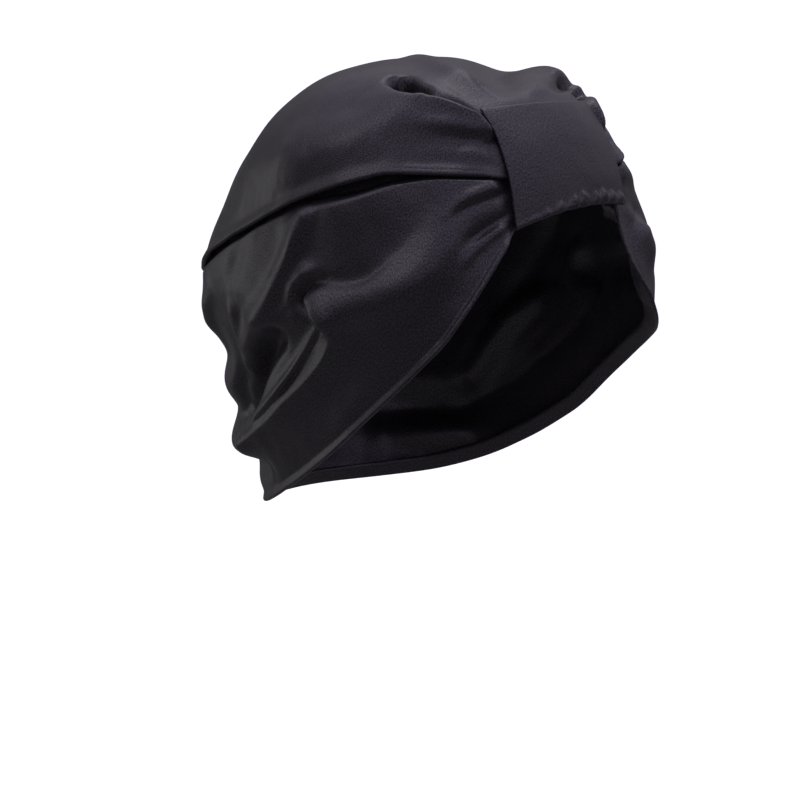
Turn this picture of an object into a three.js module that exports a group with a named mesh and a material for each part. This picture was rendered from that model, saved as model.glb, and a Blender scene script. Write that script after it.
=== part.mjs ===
// Satin turban sleep cap in its worn form: a crown bag, a wrap and a flat front band.
// Millimetres. X points to the wearer's left, -Y to the front and Z up.
// The origin is the highest point inside the crown, where the cap is held up.
// An azimuth is in degrees round the cap, 0 at the front and positive on the wearer's left.

import * as THREE from "three";
import { ParametricGeometry } from "three/addons/geometries/ParametricGeometry.js";
import { mergeGeometries, mergeVertices } from "three/addons/utils/BufferGeometryUtils.js";

// Walls and clearances
const WALL = 1.6;
const GAP = 0.5;
const CROWN_EDGE = 3.2; // thickness of the crown's rolled lower edge
const CROWN_EDGE_REACH = 12; // height over which the crown thickens towards that edge
const HEM_EDGE = 2.8; // thickness of the wrap's turned hem
const HEM_REACH = 9;

// Front band
const BAND_WALL = 1.8;
const BAND_TOP_HALF = 31.5;
const BAND_FOOT_HALF = 36;
// Heights of the band's top edge and foot: in the middle, the tilt to the left, the drop at the sides
const BAND_TOP = { middle: -13.2, tilt: 0, sag: 2.5 };
const BAND_FOOT = { middle: -59.2, tilt: 2.5, sag: 5 };
const BAND_LIFT = 1.4; // the band's outer face over the worn form
const BAND_LOOP = 5.6; // half the depth of the loop that turns under the rim
const BAND_INNER_LEG = 14; // how far the band runs up behind the rim
const RIPPLE_DEPTH = 1.1;
const RIPPLE_PITCH = 8;
const RIPPLE_REACH = 8; // height of the rippled strip over the rim

// How the crown and the wrap lie under the band and under each other
const PRESS_FROM = 37.5; // distance from the middle at which the band starts to let go of the cloth
const PRESS_TO = 44.5;
const PRESS_TOP = [-2, -11]; // heights between which the crown dives under the band's top edge
const HEM_LIFT = 5.5; // the wrap's hem ends this much higher inside the band's loop
const TUCK_UP = 12; // how far the wrap runs up under the crown's edge
const TUCK_DEPTH = CROWN_EDGE + 0.7;
const TUCK_RUN = 15; // height over which the wrap comes back out below the crown's edge

// Mesh steps
const CROWN_ROWS = 18;
const WRAP_TUCK_ROWS = 2;
const WRAP_FREE_ROWS = 15;
const BAND_STEPS = { across: 36, along: 16 };

// Steps round one side of the cap, from the front to the back.
const CROWN_ROUND = [
  { to: 70, steps: 17 },
  { to: 180, steps: 11 },
];
const WRAP_ROUND = [
  { to: 23.4, steps: 5 },
  { to: 60, steps: 8 },
  { to: 130, steps: 16 },
  { to: 180, steps: 6 },
];

// Horizontal sections of the worn form, apex first: height, reach to front and back, half width
// and the exponent of the section's rounded outline.
const SECTIONS = [
  { z: 1.6, front: 0, back: 0, half: 0, round: 2.0 },
  { z: -0.9, front: 38, back: 27, half: 34, round: 2.0 },
  { z: -8.4, front: 64, back: 47, half: 54, round: 2.1 },
  { z: -22.4, front: 80, back: 65.5, half: 68.5, round: 2.2 },
  { z: -42.4, front: 90, back: 82.5, half: 78.5, round: 2.3 },
  { z: -66.4, front: 96, back: 97, half: 84.5, round: 2.3 },
  { z: -94.4, front: 104, back: 109, half: 89, round: 2.4 },
  { z: -119.4, front: 110, back: 108, half: 86, round: 2.4 },
  { z: -144.4, front: 110, back: 101, half: 83, round: 2.4 },
  { z: -169.4, front: 104, back: 95, half: 81, round: 2.3 },
  { z: -189.4, front: 90, back: 89, half: 75, round: 2.2 },
  { z: -210.4, front: 70, back: 82, half: 66, round: 2.1 },
  { z: -230.4, front: 56, back: 76, half: 58, round: 2.1 },
];

// Height of the wrap's hem from the front to the nape, the same on both sides.
const HEM_LINE = [
  { azimuth: 0, z: -59.4 },
  { azimuth: 17, z: -62.4 },
  { azimuth: 27, z: -82.4 },
  { azimuth: 36, z: -103.4 },
  { azimuth: 57, z: -143.4 },
  { azimuth: 79, z: -172.4 },
  { azimuth: 109, z: -195.4 },
  { azimuth: 140, z: -207.4 },
  { azimuth: 180, z: -210.4 },
];

// Height of the crown's lower edge, the same on both sides.
const CROWN_LINE = [
  { azimuth: 0, z: -45 },
  { azimuth: 20, z: -45 },
  { azimuth: 40, z: -43 },
  { azimuth: 62, z: -43.5 },
  { azimuth: 90, z: -56 },
  { azimuth: 118, z: -75 },
  { azimuth: 148, z: -98 },
  { azimuth: 180, z: -110 },
];

// Folds of the crown. A path runs through points [azimuth, distance from the apex over the cloth].
// rise is the height of the ridge, or the depth of the valley if negative, left and right are its
// widths on either side of the path, and start and end are the shares of the rise at the path's ends.
const CROWN_FOLDS = [
  { name: "middle_roll", rise: 3.5, left: 8, right: 8, start: 0.5, end: 1,
    path: [[-100, 8], [-34, 38], [-20, 72]] },
  { name: "roll_dip", rise: -7, left: 10, right: 14, start: 0.4, end: 0.7,
    path: [[85, 52], [56, 34], [16, 36], [-14, 74]] },
  { name: "far_roll", rise: 6, left: 8, right: 8, start: 0.3, end: 0.6,
    path: [[76, 52], [47, 61], [30, 66]] },
  { name: "pleat_hole", rise: -8, left: 7, right: 7, start: 0.5, end: 0.5,
    path: [[-66, 46], [-54, 55], [-41, 66]] },
  { name: "pleat_lip", rise: 4, left: 5, right: 10, start: 0.5, end: 1,
    path: [[-65, 54], [-50, 66], [-24, 92]] },
  { name: "side_valley", rise: -3.5, left: 6, right: 6, start: 1, end: 0.2,
    path: [[-22, 98], [-32, 91], [-48, 86]] },
  { name: "side_roll", rise: 2.5, left: 7, right: 7, start: 1, end: 0.3,
    path: [[-22, 105], [-36, 100], [-62, 96]] },
  { name: "far_pocket", rise: -6, left: 6, right: 6, start: 0.3, end: 0.6,
    path: [[36, 62], [24, 66], [18, 75]] },
  { name: "far_gather_top", rise: 6.5, left: 7, right: 6, start: 0.3, end: 1,
    path: [[66, 76], [46, 79], [31, 86]] },
  { name: "far_slot", rise: -1.5, left: 5, right: 5, start: 0.3, end: 1,
    path: [[60, 92], [44, 94], [31, 96]] },
  { name: "far_gather_low", rise: 2, left: 6, right: 6, start: 0.3, end: 1,
    path: [[64, 100], [46, 101], [31, 103]] },
  { name: "back_drape", rise: 3, left: 14, right: 14, start: 0.2, end: 1,
    path: [[150, 60], [158, 100], [150, 140]] },
  { name: "back_fall", rise: 2, left: 14, right: 12, start: 0.2, end: 1,
    path: [[-165, 70], [-158, 105], [-166, 142]] },
  { name: "back_hollow", rise: -3, left: 12, right: 12, start: 0.2, end: 1,
    path: [[178, 80], [176, 110], [178, 142]] },
];

// Folds of the wrap. A path runs through points [azimuth, height].
const WRAP_FOLDS = [
  { name: "sash", rise: 4.5, left: 13, right: 12, start: 0.3, end: 1,
    path: [[-24, -52], [-45, -63], [-54, -80], [-77, -101]] },
  { name: "pinch_hook", rise: 4, left: 12, right: 6, start: 0.6, end: 1,
    path: [[-83, -100], [-77, -109], [-75, -115]] },
  { name: "pinch_low", rise: 5, left: 8, right: 6, start: 1, end: 0.8,
    path: [[-75, -115], [-80, -128], [-97, -150], [-120, -172]] },
  { name: "pinch_high", rise: 3, left: 5, right: 6, start: 0.5, end: 0.8,
    path: [[-82, -114], [-93, -129], [-118, -163]] },
  { name: "hollow", rise: -8, left: 8, right: 11, start: 0.7, end: 0.7,
    path: [[-101, -121], [-109, -139], [-119, -158]] },
  { name: "hollow_brow", rise: 4, left: 7, right: 9, start: 0.5, end: 0.8,
    path: [[-99, -110], [-114, -123], [-124, -149]] },
  { name: "drop", rise: 3.5, left: 7, right: 6, start: 0.8, end: 0.2,
    path: [[-88, -66], [-87, -76], [-86, -93]] },
  { name: "brow", rise: 3.5, left: 8, right: 9, start: 1, end: 0.4,
    path: [[-88, -66], [-98, -82], [-111, -108]] },
  { name: "nape_dent", rise: -5, left: 9, right: 10, start: 0.3, end: 0.3,
    path: [[-114, -128], [-135, -135], [-160, -137]] },
  { name: "nape_fold", rise: -4, left: 6, right: 7, start: 0.3, end: 0.3,
    path: [[-114, -160], [-135, -164], [-156, -165]] },
  { name: "nape_roll", rise: 5, left: 6, right: 7, start: 0.3, end: 0.4,
    path: [[-108, -172], [-128, -178], [-152, -179]] },
  { name: "nape_notch", rise: -8, left: 6, right: 6, start: 0.3, end: 0.4,
    path: [[-114, -187], [-130, -190], [-150, -191]] },
  { name: "temple_roll", rise: 3, left: 5, right: 5, start: 1, end: 0.1,
    path: [[-23, -46], [-33, -50], [-42, -58]] },
  { name: "temple_slot", rise: -3, left: 5, right: 5, start: 1, end: 0.1,
    path: [[-22, -53], [-29, -58], [-37, -66]] },
];
const FAR_SIDE_SHARE = 0.7; // the wrap's folds show again, softer, on the far side

// One roll of slack cloth along the far side's hem only.
const FAR_HEM_ROLL = { name: "far_hem_roll", rise: 6.5, left: 8, right: 8, start: 1, end: 0.2,
  path: [[26, -67], [31, -80], [40, -100]] };
const WRAP_MAP = 1.55; // millimetres of cloth per degree where the wrap is laid out flat

const SATIN = { color: 0x1d1b1f, roughness: 0.42, metalness: 0 };

const { clamp, degToRad, lerp, radToDeg, smoothstep } = THREE.MathUtils;
const FOLD_STEPS = 14; // straight pieces in a fold's path
const FOLD_FADE = 0.4; // share of a path over which a fold reaches its full rise
const HALVINGS = 30;
const SEAM = 1e-3; // points nearer than this are one
const DISTANCE_STEPS = 10;
const NORMAL_STEP = { station: 0.02, azimuth: 1 };

/** Value of a cubic curve from a to b with end slopes ma and mb. */
function hermite(a, ma, b, mb, t) {
  const t2 = t * t;
  const t3 = t2 * t;
  return (2 * t3 - 3 * t2 + 1) * a + (t3 - 2 * t2 + t) * ma + (3 * t2 - 2 * t3) * b + (t3 - t2) * mb;
}

/** Height on one of the lines round the cap. */
function lineHeight(line, azimuth) {
  const x = Math.abs(((azimuth + 540) % 360) - 180);
  const last = line.length - 1;
  const i = clamp(line.findIndex((row) => row.azimuth > x) - 1, 0, last);
  if (x >= line[last].azimuth) return line[last].z;
  const step = line[i + 1].azimuth - line[i].azimuth;
  const slope = (k) => {
    if (k === 0 || k === last) return 0;
    return (line[k + 1].z - line[k - 1].z) / (line[k + 1].azimuth - line[k - 1].azimuth);
  };
  const share = (x - line[i].azimuth) / step;
  return hermite(line[i].z, slope(i) * step, line[i + 1].z, slope(i + 1) * step, share);
}

/** One measure of the worn form at a station, the apex being station 0. */
function sectionValue(station, key) {
  const last = SECTIONS.length - 1;
  const i = clamp(Math.floor(station), 0, last - 1);
  const value = (k) => {
    if (k >= 0) return SECTIONS[k][key];
    return key === "z" || key === "round" ? SECTIONS[-k][key] : -SECTIONS[-k][key];
  };
  const slope = (k) => (k === last ? 0 : (value(k + 1) - value(k - 1)) / 2);
  return hermite(value(i), slope(i), value(i + 1), slope(i + 1), station - i);
}

/** Station of the worn form at a height, found by halving. */
function stationAt(z) {
  let low = 0;
  let high = SECTIONS.length - 1;
  for (let k = 0; k < HALVINGS; k += 1) {
    const middle = (low + high) / 2;
    if (sectionValue(middle, "z") > z) low = middle;
    else high = middle;
  }
  return (low + high) / 2;
}

/** Point of the worn form. */
function formPoint(station, azimuth) {
  const z = sectionValue(station, "z");
  const half = sectionValue(station, "half");
  if (half < 1e-6) return new THREE.Vector3(0, 0, z);
  const cos = Math.cos(degToRad(azimuth));
  const sin = Math.sin(degToRad(azimuth));
  const reach = sectionValue(station, cos > 0 ? "front" : "back");
  const power = sectionValue(station, "round");
  const radius = (Math.abs(cos / reach) ** power + Math.abs(sin / half) ** power) ** (-1 / power);
  return new THREE.Vector3(radius * sin, -radius * cos, z);
}

/** Outward direction of the worn form. */
function formNormal(station, azimuth) {
  const { station: ahead, azimuth: aside } = NORMAL_STEP;
  if (station < ahead) return new THREE.Vector3(0, 0, 1);
  const down = formPoint(station + ahead, azimuth).sub(formPoint(station - ahead, azimuth));
  const round = formPoint(station, azimuth + aside).sub(formPoint(station, azimuth - aside));
  return down.cross(round).normalize();
}

/** Distance over the cloth from the apex to a point of the worn form. */
function clothDistance(station, azimuth) {
  let sum = 0;
  let last = formPoint(0, azimuth);
  for (let k = 1; k <= DISTANCE_STEPS; k += 1) {
    const next = formPoint((station * k) / DISTANCE_STEPS, azimuth);
    sum += next.distanceTo(last);
    last = next;
  }
  return sum;
}

/** Flat layouts in which fold paths are drawn: the crown seen from its apex, the wrap unrolled. */
function crownMap(azimuth, distance) {
  const angle = degToRad(azimuth);
  return new THREE.Vector2(distance * Math.sin(angle), -distance * Math.cos(angle));
}

function wrapMap(azimuth, z) {
  return new THREE.Vector2(azimuth * WRAP_MAP, z);
}

/** Folds with their paths laid out as points on a flat layout. */
function layOut(folds, map) {
  return folds.map((fold) => {
    const knots = fold.path.map(([azimuth, along]) => map(azimuth, along));
    return { ...fold, points: new THREE.SplineCurve(knots).getPoints(FOLD_STEPS) };
  });
}

/** Rise of one fold at a point of its layout. */
function foldRise(fold, at) {
  let best = Infinity;
  let share = 0;
  let side = 0;
  for (let k = 0; k < FOLD_STEPS; k += 1) {
    const a = fold.points[k];
    const run = fold.points[k + 1].clone().sub(a);
    const off = at.clone().sub(a);
    const t = clamp(off.dot(run) / run.lengthSq(), 0, 1);
    const gap = off.clone().addScaledVector(run, -t).length();
    if (gap < best) {
      best = gap;
      share = (k + t) / FOLD_STEPS;
      side = run.cross(off);
    }
  }
  const width = side > 0 ? fold.left : fold.right;
  const rising = lerp(fold.start, 1, smoothstep(share, 0, FOLD_FADE));
  const falling = lerp(1, fold.end, smoothstep(share, 1 - FOLD_FADE, 1));
  return fold.rise * rising * falling * Math.exp(-((best / width) ** 2));
}

const crownFolds = layOut(CROWN_FOLDS, crownMap);
const wrapFolds = layOut(WRAP_FOLDS, wrapMap);
const farHemRoll = layOut([FAR_HEM_ROLL], wrapMap)[0];

/** How firmly the band holds the cloth at a point of the worn form, 0 to 1. */
function bandPress(point) {
  if (point.y > 0) return 0;
  const across = 1 - smoothstep(Math.abs(point.x), PRESS_FROM, PRESS_TO);
  return across * smoothstep(-point.z, -PRESS_TOP[0], -PRESS_TOP[1]);
}

/** Azimuths of a sheet's columns, from the back round the wearer's right, front and left. */
function columnsOf(round) {
  const side = [0];
  for (const { to, steps } of round) {
    const from = side[side.length - 1];
    for (let k = 1; k <= steps; k += 1) side.push(lerp(from, to, k / steps));
  }
  return [...side.slice(1).reverse().map((azimuth) => -azimuth), ...side];
}

/** Value at a share of the way through an even list, between its entries too. */
function sample(list, share) {
  const place = share * (list.length - 1);
  const i = Math.min(Math.floor(place), list.length - 2);
  return lerp(list[i], list[i + 1], place - i);
}

const crownColumns = columnsOf(CROWN_ROUND);
const wrapColumns = columnsOf(WRAP_ROUND);

/** Height of one of the band's ends at a place across it, -1 to 1. */
function bandEnd(end, across) {
  return end.middle + end.tilt * across - end.sag * across * across;
}

/** Point of the crown's cloth: u round, v from the apex to the rolled edge, depth into the wall. */
function crownPoint(u, v, depth) {
  const azimuth = sample(crownColumns, u);
  const edge = lineHeight(CROWN_LINE, azimuth);
  const station = v * stationAt(edge);
  const base = formPoint(station, azimuth);
  const at = crownMap(azimuth, clothDistance(station, azimuth));
  const press = bandPress(base);
  const nearEdge = smoothstep(edge + CROWN_EDGE_REACH - base.z, 0, CROWN_EDGE_REACH);
  let rise = 0;
  for (const fold of crownFolds) rise += foldRise(fold, at);
  rise = lerp(rise, Math.max(rise, 0), nearEdge);
  const held = -(BAND_WALL - BAND_LIFT + GAP);
  const wall = lerp(WALL, CROWN_EDGE, nearEdge);
  return base.addScaledVector(formNormal(station, azimuth), lerp(rise, held, press) - depth * wall);
}

/** Height of the wrap's hem, which ends higher inside the band's loop. */
function wrapHem(azimuth) {
  const line = lineHeight(HEM_LINE, azimuth);
  const at = formPoint(stationAt(line), azimuth);
  const loop = bandEnd(BAND_FOOT, clamp(at.x / BAND_FOOT_HALF, -1, 1)) + HEM_LIFT;
  return lerp(line, loop, bandPress(at));
}

/** Point of the wrap's cloth: u round, v from the tucked top to the hem, depth into the wall. */
function wrapPoint(u, v, depth) {
  const azimuth = sample(wrapColumns, u);
  const edge = lineHeight(CROWN_LINE, azimuth);
  const hem = wrapHem(azimuth);
  const row = v * (WRAP_TUCK_ROWS + WRAP_FREE_ROWS);
  const tuck = edge + TUCK_UP * (1 - Math.min(row / WRAP_TUCK_ROWS, 1));
  const z = lerp(tuck, hem, Math.max(row - WRAP_TUCK_ROWS, 0) / WRAP_FREE_ROWS);
  const station = stationAt(z);
  const base = formPoint(station, azimuth);
  let rise = foldRise(farHemRoll, wrapMap(azimuth, z));
  for (const fold of wrapFolds) {
    rise += foldRise(fold, wrapMap(azimuth, z));
    rise += FAR_SIDE_SHARE * foldRise(fold, wrapMap(-azimuth, z));
  }
  const free = lerp(rise, -TUCK_DEPTH, 1 - smoothstep(edge - z, 1, TUCK_RUN));
  const held = -(BAND_WALL - BAND_LIFT + CROWN_EDGE + 2 * GAP);
  const wall = lerp(WALL, HEM_EDGE, smoothstep(hem + HEM_REACH - z, 0, HEM_REACH));
  const offset = lerp(free, held, bandPress(base));
  return base.addScaledVector(formNormal(station, azimuth), offset - depth * wall);
}

/** Point of the band: u across, v from its top edge round the rim to its inner end, depth in the wall. */
function bandPoint(u, v, depth) {
  const across = 2 * u - 1;
  const top = bandEnd(BAND_TOP, across);
  const turnZ = bandEnd(BAND_FOOT, across) + BAND_LOOP;
  const face = top - turnZ;
  const loop = BAND_LOOP * Math.PI;
  const along = v * (face + loop + BAND_INNER_LEG);
  const half = lerp(BAND_TOP_HALF, BAND_FOOT_HALF, clamp(along / face, 0, 1));
  const turn = clamp((along - face) / BAND_LOOP, 0, Math.PI);
  const station = stationAt(top - Math.min(along, face) + Math.max(along - face - loop, 0));
  const azimuth = radToDeg(Math.asin((across * half) / sectionValue(station, "front")));
  const ripple = RIPPLE_DEPTH * Math.sin((2 * Math.PI * across * BAND_FOOT_HALF) / RIPPLE_PITCH);
  const over = smoothstep(along, face - RIPPLE_REACH, face);
  const behind = smoothstep(along, face + loop / 2, face + loop);
  const radius = BAND_LOOP + BAND_WALL / 2 - depth * BAND_WALL + ripple * over * (1 - behind);
  const middle = BAND_LOOP + BAND_WALL / 2 - BAND_LIFT;
  const point = formPoint(station, azimuth);
  point.addScaledVector(formNormal(station, azimuth), radius * Math.cos(turn) - middle);
  point.z -= radius * Math.sin(turn);
  return point;
}

/**
 * Closed wall of a sheet: its outer face, its inner face and the edges between them. The cells of both faces
 * are split the same way, down towards larger u where slant is 1 and towards smaller u where it is -1.
 */
function sheetGeometry(point, across, along, slant, edges) {
  const face = (place, columns, rows) =>
    new ParametricGeometry((u, v, target) => target.copy(point(...place(u, v))), columns, rows);
  const pieces =
    slant > 0
      ? [face((u, v) => [1 - u, v, 0], across, along), face((v, u) => [1 - u, v, 1], along, across)]
      : [face((v, u) => [u, v, 0], along, across), face((u, v) => [u, v, 1], across, along)];
  if (edges.top) pieces.push(face((u, v) => [u, 0, v], across, 1));
  if (edges.foot) pieces.push(face((u, v) => [1 - u, 1, v], across, 1));
  if (edges.sides) {
    pieces.push(face((u, v) => [0, 1 - u, v], along, 1));
    pieces.push(face((u, v) => [1, u, v], along, 1));
  }
  for (const piece of pieces) {
    piece.deleteAttribute("normal");
    piece.deleteAttribute("uv");
  }
  const geometry = mergeVertices(mergeGeometries(pieces), SEAM);
  geometry.computeVertexNormals();
  return geometry;
}

function makeCrown() {
  const geometry = sheetGeometry(crownPoint, crownColumns.length - 1, CROWN_ROWS, 1, { foot: true });
  const mesh = new THREE.Mesh(geometry, new THREE.MeshStandardMaterial(SATIN));
  mesh.name = "crown";
  return mesh;
}

function makeWrap() {
  const rows = WRAP_TUCK_ROWS + WRAP_FREE_ROWS;
  const geometry = sheetGeometry(wrapPoint, wrapColumns.length - 1, rows, -1, { top: true, foot: true });
  const mesh = new THREE.Mesh(geometry, new THREE.MeshStandardMaterial(SATIN));
  mesh.name = "wrap";
  return mesh;
}

function makeFrontBand() {
  const edges = { top: true, foot: true, sides: true };
  const geometry = sheetGeometry(bandPoint, BAND_STEPS.across, BAND_STEPS.along, 1, edges);
  const mesh = new THREE.Mesh(geometry, new THREE.MeshStandardMaterial(SATIN));
  mesh.name = "front_band";
  return mesh;
}

const cap = new THREE.Group();
cap.name = "sleep_cap";
cap.add(makeCrown(), makeWrap(), makeFrontBand());

export default cap;
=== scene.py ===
"""Looks of a black satin sleep cap in its worn form: a draped crown, a wrap and a front band."""
import math
from collections import namedtuple

import bmesh
import bpy
import numpy as np
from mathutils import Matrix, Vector


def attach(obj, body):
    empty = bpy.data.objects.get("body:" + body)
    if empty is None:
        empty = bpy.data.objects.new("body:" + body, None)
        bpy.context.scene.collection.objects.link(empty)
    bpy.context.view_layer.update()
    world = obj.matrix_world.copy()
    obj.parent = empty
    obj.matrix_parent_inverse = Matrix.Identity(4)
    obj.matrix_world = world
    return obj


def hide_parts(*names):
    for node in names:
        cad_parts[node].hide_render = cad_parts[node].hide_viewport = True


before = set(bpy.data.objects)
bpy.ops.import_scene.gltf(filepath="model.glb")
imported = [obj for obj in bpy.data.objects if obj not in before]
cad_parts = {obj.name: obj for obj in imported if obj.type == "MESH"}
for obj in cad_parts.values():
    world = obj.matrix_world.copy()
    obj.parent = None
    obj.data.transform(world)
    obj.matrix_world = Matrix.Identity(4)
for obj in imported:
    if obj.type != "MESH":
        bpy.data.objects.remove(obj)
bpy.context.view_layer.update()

# Shapes are worked out in millimetres. X points to the wearer's left, -Y to the front and Z up.
# An azimuth is in degrees round the cap, 0 at the front and positive on the wearer's left.
MM = 0.001
FULL_TURN = 360
HALF_TURN = 180

# Horizontal sections of the worn form, apex first: height, reach to the front and to the back, half width,
# and how round the section is, from an ellipse (2) to a squarer one.
FORM_NAMES = ("z", "front", "back", "half", "round")
FORM_ROWS = (
    (1.6, 0, 0, 0, 2.0),
    (-0.9, 38, 27, 34, 2.0),
    (-8.4, 64, 47, 54, 2.1),
    (-22.4, 80, 65.5, 68.5, 2.2),
    (-42.4, 90, 82.5, 78.5, 2.3),
    (-66.4, 96, 97, 84.5, 2.3),
    (-94.4, 104, 109, 89, 2.4),
    (-119.4, 110, 108, 86, 2.4),
    (-144.4, 110, 101, 83, 2.4),
    (-169.4, 104, 95, 81, 2.3),
    (-189.4, 90, 89, 75, 2.2),
    (-210.4, 70, 82, 66, 2.1),
    (-230.4, 56, 76, 58, 2.1),
)

# Heights round the cap as (azimuth, z). The hem stands further forward on the wearer's left.
HEM_LINE = (
    (0, -59.4), (17, -61), (22, -67.5), (26.7, -77), (31.7, -89), (37.4, -104), (42.8, -118),
    (57, -143.4), (79, -172.4), (109, -195.4), (140, -207.4), (180, -210.4),
)
LEFT_HEM_LINE = (
    (0, -59.4), (16, -61), (19, -66), (20.5, -76), (21.5, -88), (23, -100), (26, -110),
    (33, -119.5), (44, -129), (57, -144), (79, -172.4), (109, -195.4), (140, -207.4), (180, -210.4),
)
CROWN_LINE = (
    (0, -45), (20, -44.5), (40, -43), (55, -43), (62, -44.5), (90, -57.5), (118, -76.5),
    (148, -100.5), (180, -110),
)

# A fold is a ridge of the cloth along a path, or a valley where rise is negative. left and right are
# its widths on either side of the path, power makes it sharp (1) or flat-topped (4), lean pushes its
# crest sideways to the left, and start and end are the shares of the rise at the path's ends.
Fold = namedtuple("Fold", "name rise left right power lean start end path")

# Paths on the crown run through (azimuth, distance from the apex over the cloth).
CROWN_FOLDS = (
    Fold("middle_roll", 4.3, 8, 7.5, 2, 0, 0.5, 1, ((-100, 6), (-32, 37), (-18.5, 72))),
    Fold("middle_crease", -1.8, 3.5, 0.9, 1.3, 0, 0.1, 1,
         ((-24, 44), (-23.7, 57), (-21.3, 63.2), (-19, 68.3), (-15, 75.5))),
    Fold("roll_dip", -7, 10, 14, 2, 0, 0.4, 0.7, ((85, 52), (56, 34), (16, 36), (-14, 74))),
    Fold("far_roll", 5, 8, 6, 2, 0, 0.3, 0.3, ((76, 52), (47, 59), (28, 62.5))),
    Fold("pleat_hole", -14, 5, 5.3, 3, 0, 0.9, 0.1,
         ((-59.5, 50.6), (-55, 56.5), (-50, 61.5), (-45, 66.5))),
    Fold("pleat_seam", -2.5, 4, 1.6, 2, 0, 0.4, 0.8,
         ((-46, 65), (-39, 70), (-32.5, 75.2), (-28.5, 79))),
    Fold("pleat_lip", 4.5, 3.2, 16, 3, 0.6, 0.3, 0.8,
         ((-64, 49.5), (-60, 55), (-54, 65.2), (-47, 69.8), (-40, 74.4), (-33.3, 79.8), (-29.5, 82.7),
          (-27, 90.5))),
    Fold("pleat_rim", 2.4, 1.8, 2.8, 1.5, 0.7, 0.3, 0.8,
         ((-62.5, 50.5), (-59.5, 56), (-54, 65.7), (-47, 70.3), (-40, 74.9), (-33.3, 80.3), (-29.5, 83.2),
          (-27, 90.5))),
    Fold("side_valley", -3.2, 4.5, 9, 2, 0, 0.2, 1, ((-47, 90), (-36, 91.5), (-29, 95), (-23, 100))),
    Fold("side_high", 0.9, 2.6, 3, 2, 0, 1, 0.1, ((-25, 91), (-38, 85.5), (-56, 81))),
    Fold("side_low", 0.8, 3, 3, 2, 0, 1, 0.1, ((-22, 104), (-34, 98), (-52, 95.5))),
    Fold("band_puff", 2.2, 7, 5, 2, 0, 0.3, 0.6, ((-8, 69), (4, 68), (16, 69))),
    Fold("belly", 4.5, 16, 14, 2, 0, 0.1, 0.1,
         ((-40, 86), (-60, 84), (-75, 85), (-90, 91), (-105, 99), (-120, 108))),
    Fold("far_pocket", -13, 4.5, 4.5, 2, 0, 0.9, 0.6, ((37, 65.5), (28, 67), (18, 68.5))),
    Fold("far_bow", 3.4, 2.6, 3, 2, 0, 0.6, 0.6, ((8, 74), (18, 72.2), (30, 71), (42, 70.5))),
    Fold("far_pinch", -8, 2.8, 2.8, 2, 0, 0.8, 1, ((38, 72.5), (30, 74.5), (22, 77))),
    Fold("far_tube", 4.5, 4.2, 4.2, 2, 0, 0.3, 0.6,
         ((44, 74), (35, 77.5), (29.5, 82.5), (27, 89), (26, 96))),
    Fold("far_slot", -8, 3.2, 3.2, 2, 0, 0.8, 0.6, ((41, 83.5), (36, 86.5), (31.5, 91.5), (29.5, 96))),
    Fold("back_drape", 3, 14, 14, 2, 0, 0.2, 1, ((150, 60), (158, 100), (150, 140))),
    Fold("back_fall", 2, 14, 12, 2, 0, 0.2, 1, ((-165, 70), (-158, 105), (-166, 142))),
    Fold("back_hollow", -3, 12, 12, 2, 0, 0.2, 1, ((178, 80), (176, 110), (178, 142))),
)

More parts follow.
